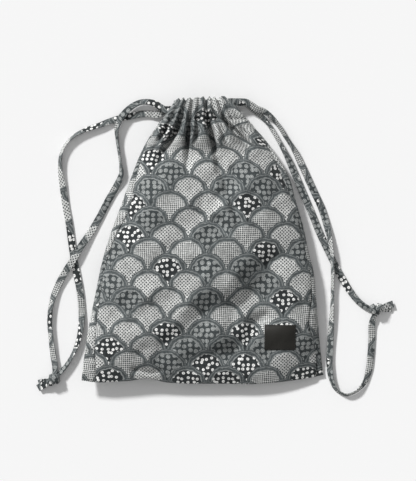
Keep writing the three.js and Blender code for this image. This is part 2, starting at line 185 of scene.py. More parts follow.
# Colour: the filling inside each scallop, the ground outside, the rims over both, times the dye's unevenness.
def printedCotton():
    material, node = newMaterial("printedCotton")
    p = printed
    flat = node("UVMap", uv_map="clothMap")
    # the drawing's shake: the place moved about by soft noise
    wander = {"Vector": flat, "Scale": 1 / p["shakeSize"], "Detail": 1.0}
    shake = node("TexNoise", wander, 1, noise_dimensions="2D")
    shake = node("VectorMath", [shake, (0.5, 0.5, 0.5)], operation="SUBTRACT")
    shaken = node("VectorMath", {0: shake, 3: 2 * p["shake"]}, operation="SCALE")
    shaken = node("VectorMath", [flat, shaken], operation="ADD")
    place = node("VectorMath", {0: shake, 3: 0.5 * p["shake"]}, operation="SCALE")
    place = node("VectorMath", [flat, place], operation="ADD")
    x = node("SeparateXYZ", [place])
    y = node("SeparateXYZ", [place], 1)
    # rows of scallops, every other row moved along by half of one; the lowest that covers a place shows
    rowAt = node("SeparateXYZ", [shaken], 1)
    rowAt = node("Math", [rowAt, p["rowPitch"]], operation="DIVIDE")
    rowLow = node("Math", [rowAt], operation="FLOOR")
    colAt = node("SeparateXYZ", [shaken])
    colAt = node("Math", [colAt, p["scallop"]], operation="DIVIDE")
    edge = name = None
    for step in (1.0, 0.0, -1.0):
        row = node("Math", [rowLow, step], operation="ADD")
        half = node("Math", [row, 2.0], operation="FLOORED_MODULO")
        col = node("Math", [half, 0.5, colAt], operation="MULTIPLY_ADD")
        across = node("Math", [col], operation="FRACT")
        across = node("Math", [across, 0.5], operation="SUBTRACT")
        up = node("Math", [rowAt, row], operation="SUBTRACT")
        up = node("Math", [up, p["rowPitch"] / p["scallop"]], operation="MULTIPLY")
        spot = node("CombineXYZ", [across, up, 0.0])
        out = node("VectorMath", [spot], 1, operation="LENGTH")
        out = node("Math", [out, 2.0], operation="MULTIPLY")
        col = node("Math", [col], operation="FLOOR")
        own = node("CombineXYZ", [col, row, 13.0])
        if edge:
            covers = node("Math", [out, 1.0], operation="LESS_THAN")
            edge = node("Mix", {0: covers, 2: edge, 3: out})
            name = node("Mix", {0: covers, 4: name, 5: own}, 1, data_type="VECTOR")
        else:
            edge, name = out, own
    inside = node("MapRange", [edge, *p["inside"], 0.0, 1.0])
    outlines = []
    for at, thin, strength in p["rims"]:
        rim = node("Math", [edge, at], operation="SUBTRACT")
        rim = node("Math", [rim], operation="ABSOLUTE")
        outlines.append(node("MapRange", [rim, thin, thin / 2, 0.0, strength]))
    # which filling a scallop has, and how pale its dye came out
    pick = node("TexWhiteNoise", [name], noise_dimensions="3D")
    dye = node("VectorMath", [name, (0.0, 0.0, 5.0)], operation="ADD")
    dye = node("TexWhiteNoise", [dye], noise_dimensions="3D")
    # slanting lattice, bright where either slanting line is, and fine check of small diamonds
    slants = [node("Math", [x, y], operation=way) for way in ("ADD", "SUBTRACT")]
    ways = [(slant, p["lattice"] * 1.414) for slant in slants] + [(x, p["check"]), (y, p["check"])]
    waves = []
    for way, size in ways:
        wave = node("Math", [way, size], operation="DIVIDE")
        wave = node("Math", [wave], operation="FRACT")
        wave = node("Math", [wave, 0.5], operation="SUBTRACT")
        waves.append(node("Math", [wave], operation="ABSOLUTE"))
    lines = [node("MapRange", [wave, *p["latticeLine"], 0.0, 1.0]) for wave in waves[:2]]
    lattice = node("Math", lines, operation="MAXIMUM")
    check = node("Math", waves[2:], operation="ADD")
    check = node("MapRange", [check, *p["checkSquare"], 0.0, 1.0])
    # discs with a dark ring round a pale eye
    scatter = {"Vector": place, "Scale": 1 / p["disc"], "Randomness": 0.35}
    discs = node("TexVoronoi", scatter, voronoi_dimensions="2D")
    disc = node("MapRange", [discs, *p["discRound"], 0.0, 1.0])
    ring = node("Math", [discs, 0.20], operation="SUBTRACT")
    ring = node("Math", [ring], operation="ABSOLUTE")
    ring = node("MapRange", [ring, *p["discRing"], 0.5, 1.0])
    disc = node("Math", [disc, ring], operation="MULTIPLY")
    # white dots with a dark eye
    scatter = {"Vector": place, "Scale": 1 / p["dot"], "Randomness": 0.55}
    dots = node("TexVoronoi", scatter, voronoi_dimensions="2D")
    dot = node("MapRange", [dots, *p["dotRound"], 0.0, 1.0])
    eye = node("MapRange", [dots, *p["dotEye"], 0.35, 1.0])
    dot = node("Math", [dot, eye], operation="MULTIPLY")
    filling = None
    choices = ((1.0, dot, "dark", "white"), (0.80, disc, "deep", "grey"),
               (0.54, check, "deep", "pale"), (0.32, lattice, "deep", "pale"))
    for limit, share, low, high in choices:
        drawn = node("Mix", {0: share, 6: hexColour(p[low]), 7: hexColour(p[high])}, 2, data_type="RGBA")
        chosen = node("Math", [pick, limit], operation="LESS_THAN")
        filling = node("Mix", {0: chosen, 6: filling, 7: drawn}, 2, data_type="RGBA") if filling else drawn
    leastPale, spread = p["paleDye"]
    pale = node("Math", [dye, spread, leastPale], operation="MULTIPLY_ADD")
    filling = node("VectorMath", {0: filling, 3: pale}, operation="SCALE")
    colour = node("Mix", {0: inside, 6: hexColour(p["ground"]), 7: filling}, 2, data_type="RGBA")
    rims = node("Math", outlines, operation="MAXIMUM")
    colour = node("Mix", {0: rims, 6: colour, 7: hexColour(p["line"])}, 2, data_type="RGBA")
    # uneven dye and slubs: soft clouds, and streaks along both sets of threads
    tone = p["cloudStart"]
    for size, amount in p["clouds"]:
        sized = node("VectorMath", [flat, size], operation="DIVIDE")
        cloud = node("TexNoise", {"Vector": sized, "Scale": 1.0, "Detail": 2.0}, noise_dimensions="2D")
        tone = node("Math", [cloud, amount, tone], operation="MULTIPLY_ADD")
    colour = node("VectorMath", {0: colour, 3: tone}, operation="SCALE")
    # plain weave: two crossing sets of threads
    threads = []
    for k in (0, 1):
        way = node("SeparateXYZ", [flat], k)
        way = node("Math", [way, 2 * np.pi / p["thread"]], operation="MULTIPLY")
        threads.append(node("Math", [way], operation="SINE"))
    weave = node("Math", threads, operation="MULTIPLY")
    weave = node("Math", [cloud, 2.0, weave], operation="MULTIPLY_ADD")
    bump = node("Bump", {"Strength": 0.6, "Distance": 0.15 * mm, "Height": weave})
    rough = node("Math", [cloud, 0.14, 0.80], operation="MULTIPLY_ADD")
    shader = node("BsdfPrincipled", {
        "Base Color": colour, "Roughness": rough, "IOR": 1.46, "Specular IOR Level": 0.2,
        "Sheen Weight": 0.08, "Sheen Roughness": 0.5, "Normal": bump,
    })
    node("OutputMaterial", [shader])
    return material


# Black satin ribbon woven close: fine cross ribs, whose crests carry a painted sheen in their colour.
# raised is no thread colour of its own: it is the painted sheen on the rib crests, lighter than the ribbon's
# black
ribbon = {"colour": "#171613", "raised": "#2b2a26", "rib": 0.9, "fleck": 0.7}


# Height follows a sine across the ribs plus soft flecks; the colour follows both, so the rib crests are a
# painted sheen and the flecks the ribbon's own uneven tone.
def wovenRibbon():
    material, node = newMaterial("wovenRibbon")
    place = node("UVMap", uv_map="clothMap")
    y = node("SeparateXYZ", [place], output=1)
    ribs = node("Math", [y, 2 * np.pi / ribbon["rib"]], operation="MULTIPLY")
    ribs = node("Math", [ribs], operation="SINE")
    fleckSize = {"Vector": place, "Scale": 1 / ribbon["fleck"], "Detail": 2.0}
    fleck = node("TexNoise", fleckSize, noise_dimensions="2D")
    share = node("Math", [ribs, 0.25, fleck], operation="MULTIPLY_ADD")
    # the lighter colour at the rib crests is a painted sheen, the flecks a real uneven tone
    ends = {0: share, 6: hexColour(ribbon["colour"]), 7: hexColour(ribbon["raised"])}
    colour = node("Mix", ends, 2, data_type="RGBA")
    bump = node("Bump", {"Strength": 0.6, "Distance": 0.15 * mm, "Height": share})
    shader = node("BsdfPrincipled", {
        "Base Color": colour, "Roughness": 0.62, "IOR": 1.5, "Specular IOR Level": 0.3, "Normal": bump,
    })
    node("OutputMaterial", [shader])
    return material


# Spun polyester thread: matt and twisted, so its tone is flecked along it.
thread = {"grey": "#6d7374", "black": "#2b2a27", "fleck": 0.5}


# Colour: the thread's own times a tone from soft noise.
def sewingThread(name, colour):
    material, node = newMaterial(name)
    place = node("UVMap", uv_map="clothMap")
    fleckSize = {"Vector": place, "Scale": 1 / thread["fleck"], "Detail": 2.0}
    fleck = node("TexNoise", fleckSize, noise_dimensions="2D")
    tone = node("Math", [fleck, 0.5, 0.75], operation="MULTIPLY_ADD")
    shade = node("VectorMath", {0: hexColour(colour)[:3], 3: tone}, operation="SCALE")
    shader = node("BsdfPrincipled", {"Base Color": shade, "Roughness": 0.7, "IOR": 1.5})
    node("OutputMaterial", [shader])
    return material


cotton = printedCotton()
ribbonCloth = wovenRibbon()
greyThread = sewingThread("greyThread", thread["grey"])
blackThread = sewingThread("blackThread", thread["black"])
print("materials made")

# Camera, straight above the bag
lens = {"distance": 2000, "centre": (5.4, -0.7, 9.0), "frameHeight": 481, "sensor": 36}
cameraData = bpy.data.cameras.new("overheadCamera")
cameraData.sensor_width = lens["sensor"]
cameraData.lens = lens["sensor"] * lens["distance"] / lens["frameHeight"]
cameraData.clip_end = 100
camera = bpy.data.objects.new("overheadCamera", cameraData)
camera.location = (np.array(lens["centre"]) + (0, 0, lens["distance"])) * mm
bpy.context.scene.collection.objects.link(camera)
bpy.context.scene.camera = camera

# Floor of matt white paper without shine, key light from the upper left and an even fill
studio = {
    "floor": "#f6f6f6", "floorSize": 6.0, "floorDrop": 0.2,
    "keyFrom": (-0.84, 1, 0.84), "key": 3.5, "keyAngle": 8, "fill": 0.40,
}
floorMaterial, node = newMaterial("palePaper")
paper = {"Base Color": hexColour(studio["floor"]), "Roughness": 1.0, "Specular IOR Level": 0.0}
node("OutputMaterial", [node("BsdfPrincipled", paper)])
floorMesh = bpy.data.meshes.new("floor")
reach = studio["floorSize"] / 2
floorCorners = [(-reach, -reach, 0), (reach, -reach, 0), (reach, reach, 0), (-reach, reach, 0)]
floorMesh.from_pydata(floorCorners, [], [(0, 1, 2, 3)])
floorMesh.materials.append(floorMaterial)
floor = bpy.data.objects.new("floor", floorMesh)
floor.location.z = -studio["floorDrop"] * mm
bpy.context.scene.collection.objects.link(floor)
keyData = bpy.data.lights.new("keyLight", "SUN")
keyData.energy = studio["key"]
keyData.angle = np.radians(studio["keyAngle"])
keyLight = bpy.data.objects.new("keyLight", keyData)
keyLight.rotation_euler = Vector(studio["keyFrom"]).to_track_quat("Z", "Y").to_euler()
bpy.context.scene.collection.objects.link(keyLight)
world = bpy.data.worlds.new("softFill")
world.use_nodes = True
world.node_tree.nodes["Background"].inputs["Color"].default_value = (1, 1, 1, 1)
world.node_tree.nodes["Background"].inputs["Strength"].default_value = studio["fill"]
bpy.context.scene.world = world
bpy.context.scene.view_settings.view_transform = "Standard"
print("camera and light set")

# The lying bag: edges as (along, across) from the bag's middle, the bottom edge as (across, along), the lower
# corners as (lift, width)
bag = {
    "leftEdge": [(-145, -121), (-106, -116.6), (-47, -105.6), (-23, -100.6), (4, -92.6), (34, -81.6),
                 (67, -69.6), (89, -60.6), (105, -51.6), (123, -38.6), (137, -29.0), (146, -27)],
    "rightEdge": [(-145, 121.2), (-103, 117), (-70, 114.4), (-32, 110.9), (-10, 105.6), (14, 100.4),
                  (40, 92.8), (64, 85.8), (80, 76.4), (99, 63.4), (117, 47.4), (127, 38.4), (140, 30),
                  (146, 28)],
    "bottomEdge": [(-122, -140), (-105, -142.2), (-90, -141.7), (-72.6, -140.7), (-59.6, -138.9),
                   (-52.6, -138.9), (-38.6, -142), (-12.6, -143.7), (22.4, -143.7), (45.4, -144.3),
                   (78.4, -142.2), (99.4, -139.5), (122, -135.4)],
    "leftInset": [(-145, 15), (-100, 9), (-35, 4.5), (6, 6), (29, 10), (55, 6.5), (80, 3.5), (105, 1.6),
                  (125, 0.8)],
    "rightInset": [(-145, 7.5), (-106, 5.5), (-88, 9), (-62, 4.6), (-10, 2.8), (24, 2.8), (46, 4.4),
                   (61, 7.5), (80, 4), (105, 1.6), (125, 0.8)],
    "bottom": -143, "stitch": 121, "top": 141.2, "edgePower": 5,  # the bottom edge's own line fades upwards
    "belly": 36.5, "bottomRound": 54, "bottomPower": 1.6, "shoulder": 130, "sidePower": 0.55,
    "fold": 11, "foldTilt": 0.8, "cornerReach": 55, "leftCorner": (3.0, 0.45), "rightCorner": (-7.5, 0.32),
    "casingRidge": 24.5, "casingEnd": 14.5, "casingHalf": 40,
    "floorGap": 0.9, "backCasing": 3.4, "backNeck": 50, "flatShare": 0.8, "backRound": 18, "backPower": 2.4,
    "seamDip": 1.1, "seamWidth": 2.0, "seamOpens": (-3, 6), "thickness": 0.5,
}


# Middle of the bag and half its width, at a distance along it.
def outlineAt(y):
    left = smoothValue(bag["leftEdge"], y)
    right = smoothValue(bag["rightEdge"], y)
    return (left + right) / 2, (right - left) / 2


# Height of the folds all round: level, lifted at the lower left corner and down at the lower right.
def foldHeight(u, y):
    low = bell(y, bag["bottom"], bag["cornerReach"])
    leftLift, leftWidth = bag["leftCorner"]
    rightLift, rightWidth = bag["rightCorner"]
    lift = leftLift * bell(u, -1, leftWidth) + rightLift * bell(u, 1, rightWidth)
    return bag["fold"] - bag["foldTilt"] * u + low * lift


# Height of the filled front: up from the bottom fold, down over the shoulder to the neck, and round
# across from fold to fold as (1 - u^2) to a power.
def fullHeight(u, y):
    rise = 1 - np.clip(1 - (y - bag["bottom"]) / bag["bottomRound"], 0, 1) ** bag["bottomPower"]
    edge = foldHeight(u, y)
    crown = mix(edge, bag["belly"], rise)
    crown = mix(crown, bag["casingRidge"], easeBetween(y, bag["stitch"] - bag["shoulder"], bag["stitch"]))
    return edge + (crown - edge) * np.clip(1 - u * u, 0, 1) ** bag["sidePower"]


# Height of the back: flat on the floor, turned up to the folds at the sides and the bottom.
def backHeight(u, y):
    edge = foldHeight(u, y)
    drop = np.clip(1 - (y - bag["bottom"]) / bag["backRound"], 0, 1) ** bag["backPower"]
    low = mix(bag["floorGap"], edge, drop)
    low = mix(low, bag["backCasing"], easeBetween(y, bag["stitch"] - bag["backNeck"], bag["stitch"]))
    turn = np.clip((np.abs(u) - bag["flatShare"]) / (1 - bag["flatShare"]), 0, 1)
    return low + (edge - low) * (1 - np.sqrt(1 - turn * turn))


# The gathers below the casing: each valley's line of (across, along) down from the stitching, its depth and
# the width of its walls
gathers = [
    {"line": [(-39.5, 121), (-49, 108)], "depth": 0.5, "width": 4},
    {"line": [(-31, 121), (-38, 109), (-49, 93)], "depth": 5, "width": 4},
    {"line": [(-22, 121), (-25, 112), (-32, 100), (-41, 84), (-47, 66)], "depth": 14, "width": 5.5},
    {"line": [(-13, 121), (-13.4, 112), (-15, 98), (-15.5, 84), (-12, 54)], "depth": 12, "width": 4},
    {"line": [(-4.5, 121), (-5.6, 112), (-7, 94)], "depth": 6, "width": 3.5},
    {"line": [(5, 121), (7.5, 111), (10, 98), (13.5, 84), (18, 48)], "depth": 14, "width": 5},
    {"line": [(13, 121), (18, 112), (26, 94)], "depth": 5, "width": 3.5},
    {"line": [(21, 121), (27.5, 113), (37, 103), (51, 86)], "depth": 14, "width": 5.5},
    {"line": [(29.5, 121), (38, 112), (51, 98)], "depth": 5, "width": 4},
    {"line": [(35.5, 121), (44, 112), (55, 102)], "depth": 2, "width": 4},
    {"line": [(42.5, 121), (57, 106)], "depth": 0.5, "width": 4},
]
# What all valleys share: depth at the stitching, how it swells below and fades out, and the walls' part in it
valleys = {"atStitch": 0.42, "swell": 1.9, "swellAt": 17, "swellReach": 11, "fade": 0.35, "full": 0.45,
           "walls": 0.7, "bottom": 0.2}


# Drop of the gathered cloth at places across and along: round lobes, 1 - sin(pi q) between two neighbours,
# with steep walls down to each valley, whose depth runs out over its line.
def gatherDrop(x, y):
    level = np.minimum(y[:, :1], bag["stitch"])
    places, depths = [], []
    for valley in gathers:
        line = np.array(valley["line"], float)[::-1, ::-1]
        low, slope = line[0], (line[1] - line[0])[1] / (line[1] - line[0])[0]
        past = np.minimum(level - low[0], 0) * slope
        places.append(smoothValue(line, level) + past)
        left = np.clip((level - low[0]) / (bag["stitch"] - low[0]), 0, 1)
        swell = bell(level, bag["stitch"] - valleys["swellAt"], valleys["swellReach"])
        below = valleys["atStitch"] + valleys["swell"] * swell
        fade = left ** valleys["fade"] * easeBetween(left, -0.05, valleys["full"])
        depths.append(valley["depth"] * fade * below)
    places = np.concatenate(places, axis=1) + 0.01 * np.arange(len(gathers))
    places = np.maximum.accumulate(places, axis=1)  # neighbours may meet but never cross
    depths = np.concatenate(depths, axis=1)
    drop = np.zeros_like(x)
    for k in range(len(gathers) - 1):
        gap = np.maximum(places[:, k + 1:k + 2] - places[:, k:k + 1], 0.01)
        q = np.clip((x - places[:, k:k + 1]) / gap, -0.01, 1.01)
        width = np.where(q < 0.5, gathers[k]["width"], gathers[k + 1]["width"])
        wall = 1 - easeBetween(np.minimum(q, 1 - q) * gap, valleys["bottom"] * width, width)
        lobe = mix(1 - np.sin(np.pi * q), wall, valleys["walls"])
        lobe = mix(depths[:, k:k + 1], depths[:, k + 1:k + 2], q) * lobe
        drop = np.where((q >= 0) & (q <= 1), lobe, drop)
    return drop


# Height of the front casing's ridges, bowed down to its ends.
def casingHeight(x):
    return mix(bag["casingRidge"], bag["casingEnd"], np.clip(np.abs(x) / bag["casingHalf"], 0, 1) ** 2)


# Creases of the front: a line of (across, along), how deep, how wide at each end. Below nothing is a ridge.
creases = [
    {"line": [(-13, 98), (-14, 88), (-12, 72)], "depth": 4, "width": (3.5, 4)},
    {"line": [(-44, 84), (-43, 74)], "depth": 5, "width": (6, 5)},
    {"line": [(17, 78), (24, 52), (33, 26), (40, -6)], "depth": 4.5, "width": (4, 4)},
    {"line": [(13, 20), (20, 12), (24, 4)], "depth": 4, "width": (5, 4)},
    {"line": [(70, -18), (56, -24)], "depth": 3, "width": (5, 6)},
    {"line": [(62, -76), (50, -82), (40, -94)], "depth": 4, "width": (6, 8)},
    {"line": [(-68, -129), (-52, -132), (-36, -129)], "depth": 3, "width": (3, 3)},
    {"line": [(-34, 70), (-50, 20), (-62, -40)], "depth": -2.5, "width": (16, 22)},
    {"line": [(48, 80), (62, 40), (70, 4)], "depth": -3, "width": (10, 14)},
]
# Banks of the padding: along the line the front drops to its right hand, and comes back a reach away
banks = [
    {"line": [(92, 8), (62, -17), (44, -36), (33, -52), (2, -62), (-24, -88), (-58, -108)],
     "drop": 14.5, "width": 25, "reach": 70},
    {"line": [(78, -70), (56, -76), (40, -96), (12, -108), (-24, -119)], "drop": 7, "width": 17, "reach": 26},
    {"line": [(-22, -52), (-48, -60), (-76, -86)], "drop": 4, "width": 16, "reach": 40},
    {"line": [(62, 66), (46, 46), (34, 40)], "drop": 4, "width": 14, "reach": 30},
    {"line": [(10, 40), (-14, 22), (-44, 14)], "drop": 3.5, "width": 18, "reach": 40},
]
# Ripples of the padding: height, length of a wave either way, seed, and whether they lie on the slant
ripples = [
    {"height": 2.6, "size": (21, 52), "seed": 5, "slanting": True},
    {"height": 1.5, "size": (9, 24), "seed": 6, "slanting": True},
    {"height": 1.6, "size": (15, 46), "seed": 7, "slanting": False},
    {"height": 0.4, "size": (6, 9), "seed": 8, "slanting": False},
]
# The padding as a whole: its map's low corner and size, and how it swells below the casing and dips at the
# stitching
padding = {
    "low": (-132, -152), "size": (265, 285), "bottomEase": 30, "smoothing": 6,
    "bankPower": 0.6, "bankEnd": 12, "neck": 70,
    "swell": 7.5, "swellAt": 16, "swellReach": 12, "swellPower": 0.4, "dip": 1.6, "dipReach": 3,
    "valleyFloor": 10.2, "floorSoft": 1.2, "floorFrom": 2,
}


# Soft noise between -1 and 1: random values on a grid, eased from each to the next.
def softNoise(x, y, size, seed):
    values = np.random.default_rng(seed).uniform(-1, 1, (64, 64))
    i, j = x / size[0] + 32, y / size[1] + 32
    a, b = np.floor(i).astype(int) % 63, np.floor(j).astype(int) % 63
    s, t = easeBetween(i % 1, 0, 1), easeBetween(j % 1, 0, 1)
    return mix(mix(values[a, b], values[a + 1, b], s), mix(values[a, b + 1], values[a + 1, b + 1], s), t)


# Even points a millimetre apart along a smooth line, and their shares of its length.
def lineAt(line):
    line = np.array(line, float)
    run = runAlong(line)
    share = np.linspace(0, 1, int(run[-1]) + 2)
    return smoothCurve(np.column_stack([run, line]), share * run[-1]), share


# The four neighbours of every value of a map.
def neighbours(values):
    return np.stack([np.roll(values, shift, axis) for axis in (0, 1) for shift in (1, -1)])


# Map of what the front rests on, one value a millimetre: the full height with its ripples, less the banks,
# less the deepest crease near, plus the highest ridge near, less the gathers, whose valleys stay clear of
# the back.
def paddingMap():
    sides = [low + np.arange(size, dtype=float) for low, size in zip(padding["low"], padding["size"])]
    x, y = np.meshgrid(*sides, indexing="ij")
    middle, half = outlineAt(y)
    u = np.clip((x - middle) / half, -1, 1)
    pad = fullHeight(u, y)
    inner = np.sqrt(np.clip(1 - u * u, 0, 1))
    inner = inner * easeBetween(y, bag["bottom"], bag["bottom"] + padding["bottomEase"])
    slant, rise = (x - y) / np.sqrt(2), (x + y) / np.sqrt(2)
    for ripple in ripples:
        across, along = (slant, rise) if ripple["slanting"] else (x, y)
        pad += inner * ripple["height"] * softNoise(across, along, ripple["size"], ripple["seed"])
    for bank in banks:
        path, share = lineAt(bank["line"])
        way = unit(np.gradient(path, axis=0))
        gap = np.stack([x, y], axis=-1)[:, :, None] - path
        near = (gap * gap).sum(-1).argmin(-1)
        gap = np.take_along_axis(gap, near[..., None, None], 2)[:, :, 0]
        side = gap[..., 1] * way[near, 0] - gap[..., 0] * way[near, 1]
        past = np.abs((gap * way[near]).sum(-1))
        drop = bank["drop"] * np.sin(np.pi * share[near]) ** padding["bankPower"]
        drop = drop * bell(past, 0, padding["bankEnd"])
        fall = easeBetween(side, -bank["width"] / 2, bank["width"] / 2)
        pad -= inner * drop * fall * bell(np.maximum(side, 0), 0, bank["reach"])
    for _ in range(padding["smoothing"]):
        pad = (pad + neighbours(pad).sum(0)) / 5
    groove, ridge = np.zeros_like(pad), np.zeros_like(pad)
    for crease in creases:
        path, share = lineAt(crease["line"])
        width = mix(*crease["width"], share)
        fade = np.minimum(1, 2.2 * (1 - share) + 0.05)  # runs out over the last half of its line
        depth = np.abs(crease["depth"]) * fade
        shape = groove if crease["depth"] > 0 else ridge
        for point, w, d in zip(path, width, depth):
            near = (x - point[0]) ** 2 + (y - point[1]) ** 2
            np.maximum(shape, d * np.exp(-near / w**2), out=shape)
    pad = mix(pad + ridge - groove, casingHeight(x), easeBetween(y, padding["neck"], bag["stitch"]))
    swell = padding["swell"] * bell(y, bag["stitch"] - padding["swellAt"], padding["swellReach"])
    pad += swell * np.clip(1 - u * u, 0, 1) ** padding["swellPower"]
    pad -= padding["dip"] * bell(y, bag["stitch"], padding["dipReach"])
    drop = gatherDrop(x.T, y.T).T
    low = pad - drop
    ground, soft = padding["valleyFloor"], padding["floorSoft"]
    clear = ground + soft * np.logaddexp(0, (low - ground) / soft)
    return mix(low, clear, easeBetween(drop, 0, padding["floorFrom"]))


# Value of a millimetre map between its points, straight in both directions.
def readMap(values, x, y):
    limits = zip((x, y), padding["low"], padding["size"])
    i, j = [np.clip(at - low, 0, size - 1.001) for at, low, size in limits]
    a, b = i.astype(int), j.astype(int)
    s, t = i - a, j - b
    low = values[a, b] * (1 - s) + values[a + 1, b] * s
    high = values[a, b + 1] * (1 - s) + values[a + 1, b + 1] * s
    return low * (1 - t) + high * t


# Where the front's seams lie at a distance along: left and right, across.
def seamsAt(y):
    left = smoothValue(bag["leftEdge"], y) + smoothValue(bag["leftInset"], y)
    right = smoothValue(bag["rightEdge"], y) - smoothValue(bag["rightInset"], y)
    return left, right


# How far the side seams are open at a distance along: shut up to the stitching, open in the casing.
def openShare(y):
    first, last = bag["seamOpens"]
    return easeBetween(y, bag["stitch"] + first, bag["stitch"] + last)


# The front panel: rows up to the stitching, columns, points that measure a row, where its sides come down to
# the back, and its map: the middle, the spread towards the stitching and the share measured along the cloth
frontPanel = {
    "rows": 188, "cols": 168, "finePoints": 900, "sewnReach": 9, "sewnFrom": (55, 85),
    "mapMiddle": 4, "mapSpread": 1.06, "mapMeasured": 0.3,
}


# Body of the front: rows across the filled bag with the gathers let in, each row's points an equal length of
# cloth apart. Near the upper seams it comes down to the back's own height.
def frontBody():
    up = np.linspace(0, 1, frontPanel["rows"])[:, None]
    level = mix(bag["bottom"], bag["stitch"], up)
    left, right = seamsAt(level)
    x = mix(left, right, np.linspace(0, 1, frontPanel["finePoints"])[None, :])
    y = level + (smoothValue(bag["bottomEdge"], x) - bag["bottom"]) * (1 - up) ** bag["edgePower"]
    z = readMap(paddingMap(), x, y)
    seam = np.minimum(np.abs(x - left), np.abs(right - x))
    middle, half = outlineAt(level)
    sewn = fullHeight(np.clip((x - middle) / half, -1, 1), level)
    near = 1 - easeBetween(seam, 0, frontPanel["sewnReach"])
    z = mix(z, sewn, near * easeBetween(level, *frontPanel["sewnFrom"]))
    z -= bag["seamDip"] * bell(seam, 0, bag["seamWidth"]) * (1 - openShare(level))
    fine = np.stack([x, y, z], axis=-1)
    run = runAcross(fine)
    share = np.linspace(0, 1, frontPanel["cols"])
    points = [[np.interp(share * r[-1], r, f[:, k]) for k in range(3)] for r, f in zip(run, fine)]
    return np.array(points).transpose(0, 2, 1), run[:, -1]


# Casing of the front above its stitching: rows, the turned edge's radius, how it narrows and fills out, its
# uneven top edge, and the hem, which hangs clear below the strings, so that they lie in a tunnel
casing = {
    "outerRows": 12, "foldRows": 5, "hemRows": 16, "round": 1.6, "narrow": 0.73,
    "full": 2.2, "fullPower": 0.8, "topValley": 0.6, "hemValley": 0.9,
    "middle": 1, "half": 41, "topLift": 1.3, "endDip": 3.6, "valleyDip": (4.4, 12),
    "bump": (2.6, 28, 5.5), "wave": (0.6, 0.9),
    "hemDepth": 7.9, "hemLow": (10.6, 8.0), "hemEnds": (28, 38), "hemGap": 0.8, "hemFoot": 0.5,
}


# Rows of the casing from the body's last row: the valleys flatten towards the top edge, which dips at each
# valley and at the ends, a half circle turns the cloth in, and the hem comes down inside.
def casingRows(last):
    x = last[:, 0]
    ridge = casingHeight(x)
    drop = ridge - last[:, 2]
    ends = np.clip(np.abs(x - casing["middle"]) / casing["half"], 0, 1)
    dip, deepValley = casing["valleyDip"]
    top = bag["top"] + casing["topLift"] - dip * drop / deepValley - casing["endDip"] * ends**4
    bump, bumpAt, bumpWidth = casing["bump"]
    wave, waveStep = casing["wave"]
    top = top + bump * bell(x, bumpAt, bumpWidth) + wave * np.sin(x * waveStep)
    rows = []
    for up in np.linspace(0, 1, casing["outerRows"] + 1)[1:]:
        y = mix(bag["stitch"], top - casing["round"], up)
        full = casing["full"] * np.sin(np.pi * up) ** casing["fullPower"]
        z = ridge - drop * mix(1, casing["topValley"], np.sqrt(up)) + full
        rows.append((x * mix(1, casing["narrow"], up), y, z))
    lastX, _, lastZ = rows[-1]
    for angle in np.linspace(0, np.pi, casing["foldRows"] + 2)[1:-1]:
        y = top - casing["round"] + casing["round"] * np.sin(angle)
        rows.append((lastX, y, lastZ - casing["round"] * (1 - np.cos(angle))))
    lowest = mix(*casing["hemLow"], easeBetween(np.abs(x), *casing["hemEnds"]))
    hung = np.maximum(ridge - casing["hemDepth"], lowest)
    for up in np.linspace(1, 0, casing["hemRows"]):
        y = mix(bag["stitch"] + casing["hemFoot"], top - casing["round"], up)
        inner = ridge - drop * mix(casing["hemValley"], casing["topValley"], up)
        inner = inner - mix(casing["hemGap"], 2 * casing["round"], np.sqrt(up))
        tunnel = easeBetween(up, 0.02, 0.16) * (1 - easeBetween(up, 0.84, 1))
        rows.append((x * mix(1, casing["narrow"], up), y, mix(inner, np.minimum(inner, hung), tunnel)))
    return np.array([np.stack(row, axis=-1) for row in rows])


# The front panel: the body's rows, then the casing's. Across its map the print lies mostly flat, in part
# measured along the cloth; along it the map follows the mean run of the columns.
def makeFrontPanel():
    body, width = frontBody()
    points = np.concatenate([body, casingRows(body[-1])])
    steps = np.linalg.norm(np.diff(points, axis=0), axis=-1).mean(axis=1)
    along = np.concatenate([[0], np.cumsum(steps)])
    spread = mix(1, frontPanel["mapSpread"], easeBetween(body[:, :1, 1], 0, bag["stitch"]))
    flat = (body[..., 0] - frontPanel["mapMiddle"]) * spread
    measured = (np.linspace(0, 1, body.shape[1]) - 0.5) * width[:, None]
    across = mix(flat, measured, frontPanel["mapMeasured"])
    across = np.concatenate([across, np.repeat(across[-1:], len(points) - len(body), axis=0)])
    uv = np.stack(np.broadcast_arrays(across, along[:, None]), axis=-1)
    piece = gridPiece("front_cloth", points, uv, cotton)
    thicken(piece, bag["thickness"])
    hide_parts("front_panel")
    print("front panel made")
    return points


# The back panel: rows and columns, how far its casing stops short of the folds, the seams' pucker, its
# pleats and how they flatten in the casing, its uneven top edge, its hem and where its map starts
backPanel = {
    "rows": 150, "cols": 180, "casingRows": 14, "foldRows": 6, "hemRows": 16, "sideGap": 0.35, "pucker": 0.35,
    "pleat": 6.6, "pleats": 9, "pleatsFrom": -10, "flatten": 0.6, "flattenOver": (-1, 5),
    "edgeDrop": 2.4, "edgeWaves": ((1.1, 0.62, 0.8), (0.6, 1.37, 0)),
    "round": 1.4, "hem": 18, "hemHeight": (10.2, 7.9), "hemEnds": (20, 29), "hemMap": 22,
    "mapStart": (13, 7), "stitchInset": 30, "stitchDrop": 0.15, "stitchProud": -0.12,
}


